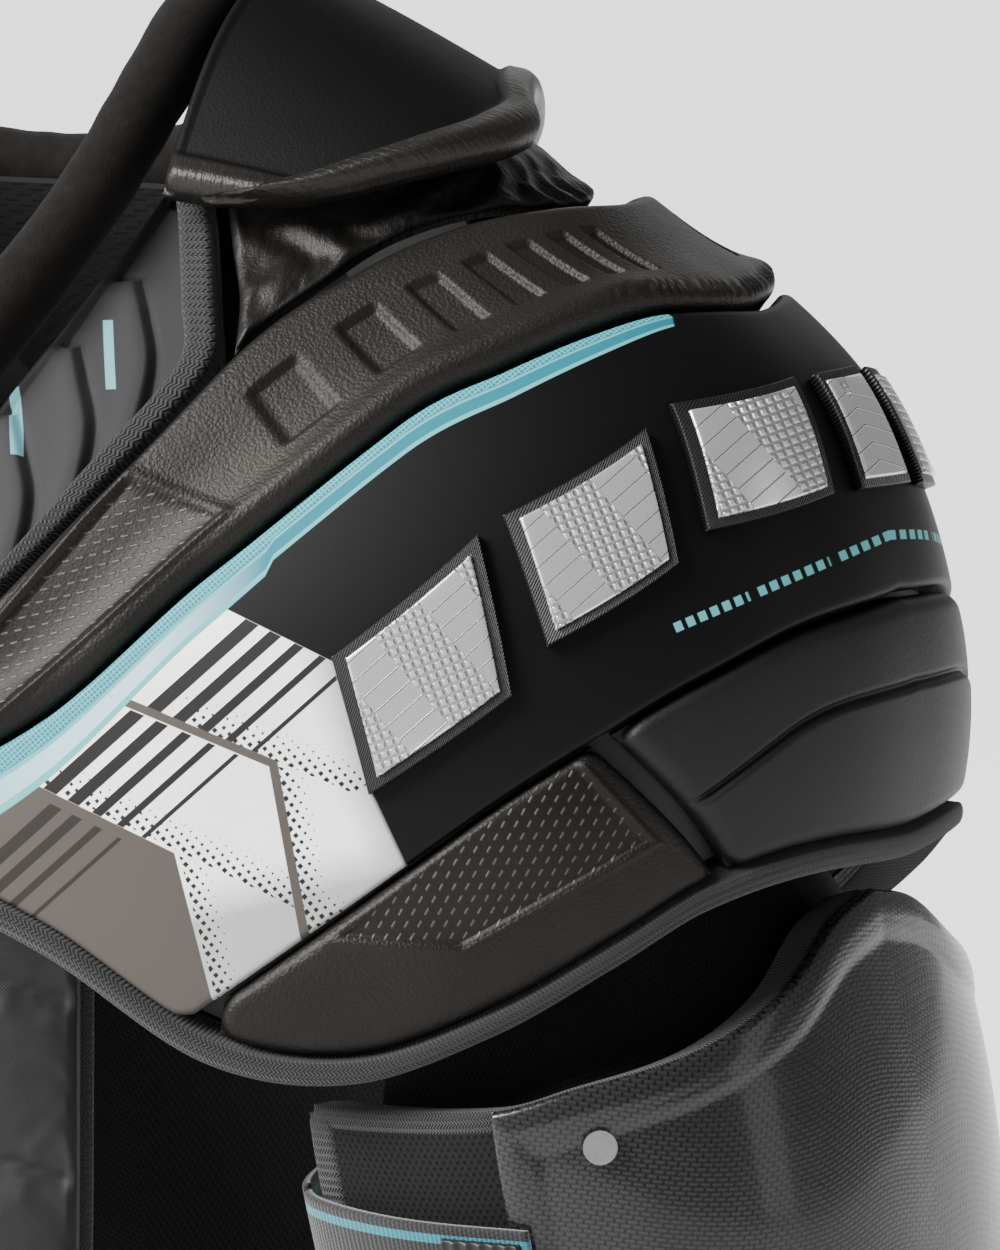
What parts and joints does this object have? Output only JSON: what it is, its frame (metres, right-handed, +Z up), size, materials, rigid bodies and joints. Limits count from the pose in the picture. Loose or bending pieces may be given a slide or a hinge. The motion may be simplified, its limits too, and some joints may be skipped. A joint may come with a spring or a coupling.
{
  "type": "ice hockey shoulder pads",
  "caption": "Ice hockey shoulder pads: padded vest with domed shoulder caps, flip-up epaulets, sternum and spine guards, hanging upper-arm guards, belly flap and side straps.",
  "frame": {"origin": "middle of the neck opening, level with the tops of the shoulder joints, where the pads rest on the wearer", "axes": "+X to the wearer's left, -Y to the wearer's front, +Z up along the spine"},
  "size_m": [0.6028, 0.2764, 0.4879],
  "materials": {
    "liner": "brushed mesh lining",
    "foam": "stretch knit over foam",
    "collar_cloth": "brushed",
    "webbing": "woven",
    "elastic": "elastic knit with a coloured edge",
    "hook_tape": "hook and loop",
    "ring_metal": "satin moulded",
    "bronze_leather": "fine pebble grain, semi-gloss",
    "gusset_leather": "creased",
    "black_leather": "smooth, matt, printed",
    "grey_leather": "fine grain",
    "moulded_plastic": "moulded",
    "badge_silver": "brushed silver and studs",
    "carbon_plastic": "gloss over woven carbon",
    "rivet_metal": "satin"
  },
  "bodies": {
    "vest": {"chest_liner": "liner", "back_liner": "liner", "collar": "collar_cloth", "hang_loop": "webbing", "strap_rings": "ring_metal", "ring_tabs": "webbing", "strap_patches": "hook_tape", "left_chest_pad": "foam", "right_chest_pad": "foam", "left_back_pad": "foam", "right_back_pad": "foam", "left_upper_chest_pad": "foam", "right_upper_chest_pad": "foam", "left_upper_back_pad": "foam", "right_upper_back_pad": "foam", "left_yoke": "liner", "right_yoke": "liner", "left_gusset": "gusset_leather", "right_gusset": "gusset_leather"},
    "left_cap": {"left_cap_band": "bronze_leather", "left_cap_plate": "black_leather", "left_cap_front_panel": "bronze_leather", "left_cap_outer_panel": "grey_leather", "left_cap_back_panel": "bronze_leather", "left_cap_shell": "moulded_plastic", "left_cap_lining": "liner", "left_cap_binding": "webbing", "left_cap_badge": "badge_silver"},
    "left_arm": {"left_arm_guard": "carbon_plastic", "left_arm_pad": "foam", "left_arm_cuff": "liner", "left_guard_rivets": "rivet_metal", "left_arm_strap": "elastic"},
    "left_arm_strap_end": {"left_arm_strap_end": "elastic"},
    "left_side_strap": {"left_side_strap": "elastic"},
    "left_epaulet": {"left_epaulet": "bronze_leather"},
    "right_cap": {"right_cap_band": "bronze_leather", "right_cap_plate": "black_leather", "right_cap_front_panel": "bronze_leather", "right_cap_outer_panel": "grey_leather", "right_cap_back_panel": "bronze_leather", "right_cap_shell": "moulded_plastic", "right_cap_lining": "liner", "right_cap_binding": "webbing", "right_cap_badge": "badge_silver"},
    "right_arm": {"right_arm_guard": "carbon_plastic", "right_arm_pad": "foam", "right_arm_cuff": "liner", "right_guard_rivets": "rivet_metal", "right_arm_strap": "elastic"},
    "right_arm_strap_end": {"right_arm_strap_end": "elastic"},
    "right_side_strap": {"right_side_strap": "elastic"},
    "right_epaulet": {"right_epaulet": "bronze_leather"},
    "belly_flap": {"belly_flap": "foam"},
    "kidney_flap": {"kidney_flap": "foam"},
    "sternum_guard": {"sternum_plate": "moulded_plastic", "sternum_rivets": "rivet_metal"},
    "spine_guard": {"spine_plate": "moulded_plastic", "spine_rivets": "rivet_metal"}
  },
  "joints": [
    {"name": "left_cap_lift", "type": "hinge", "parent": "vest", "child": "left_cap", "pos_m": [0.17, 0, -0.015], "axis": [0, -1, 0], "range_deg": [0, 30]},
    {"name": "left_arm_swing", "type": "hinge", "parent": "left_cap", "child": "left_arm", "pos_m": [0.272, 0, -0.17], "axis": [0, -1, 0], "range_deg": [0, 30]},
    {"name": "left_arm_strap_peel", "type": "hinge", "parent": "left_arm", "child": "left_arm_strap_end", "pos_m": [0.17385, -0.09102, -0.262], "axis": [0.1995, 0.0813, -0.9765], "range_deg": [0, 80]},
    {"name": "left_side_strap_swing", "type": "hinge", "parent": "vest", "child": "left_side_strap", "pos_m": [0.12142, 0.08808, -0.348], "axis": [0, 0, 1], "range_deg": [0, 70]},
    {"name": "left_epaulet_lift", "type": "hinge", "parent": "vest", "child": "left_epaulet", "pos_m": [0.109, 0, 0.042], "axis": [0, -1, 0], "range_deg": [0, 50]},
    {"name": "right_cap_lift", "type": "hinge", "parent": "vest", "child": "right_cap", "pos_m": [-0.17, 0, -0.015], "axis": [0, 1, 0], "range_deg": [0, 30]},
    {"name": "right_arm_swing", "type": "hinge", "parent": "right_cap", "child": "right_arm", "pos_m": [-0.272, 0, -0.17], "axis": [0, 1, 0], "range_deg": [0, 30]},
    {"name": "right_arm_strap_peel", "type": "hinge", "parent": "right_arm", "child": "right_arm_strap_end", "pos_m": [-0.17385, -0.09102, -0.262], "axis": [0.1995, -0.0813, 0.9765], "range_deg": [0, 80]},
    {"name": "right_side_strap_swing", "type": "hinge", "parent": "vest", "child": "right_side_strap", "pos_m": [-0.12142, 0.08808, -0.348], "axis": [0, 0, -1], "range_deg": [0, 70]},
    {"name": "right_epaulet_lift", "type": "hinge", "parent": "vest", "child": "right_epaulet", "pos_m": [-0.109, 0, 0.042], "axis": [0, 1, 0], "range_deg": [0, 50]},
    {"name": "belly_flap_fold", "type": "hinge", "parent": "vest", "child": "belly_flap", "pos_m": [0, -0.1, -0.3765], "axis": [-1, 0, 0], "range_deg": [0, 50]},
    {"name": "kidney_flap_fold", "type": "hinge", "parent": "vest", "child": "kidney_flap", "pos_m": [0, 0.1, -0.3765], "axis": [1, 0, 0], "range_deg": [0, 40]},
    {"name": "sternum_guard_tilt", "type": "hinge", "parent": "vest", "child": "sternum_guard", "pos_m": [0, -0.114, -0.168], "axis": [-1, 0, 0], "range_deg": [0, 15]},
    {"name": "spine_guard_tilt", "type": "hinge", "parent": "vest", "child": "spine_guard", "pos_m": [0, 0.114, -0.16], "axis": [1, 0, 0], "range_deg": [0, 12]}
  ]
}
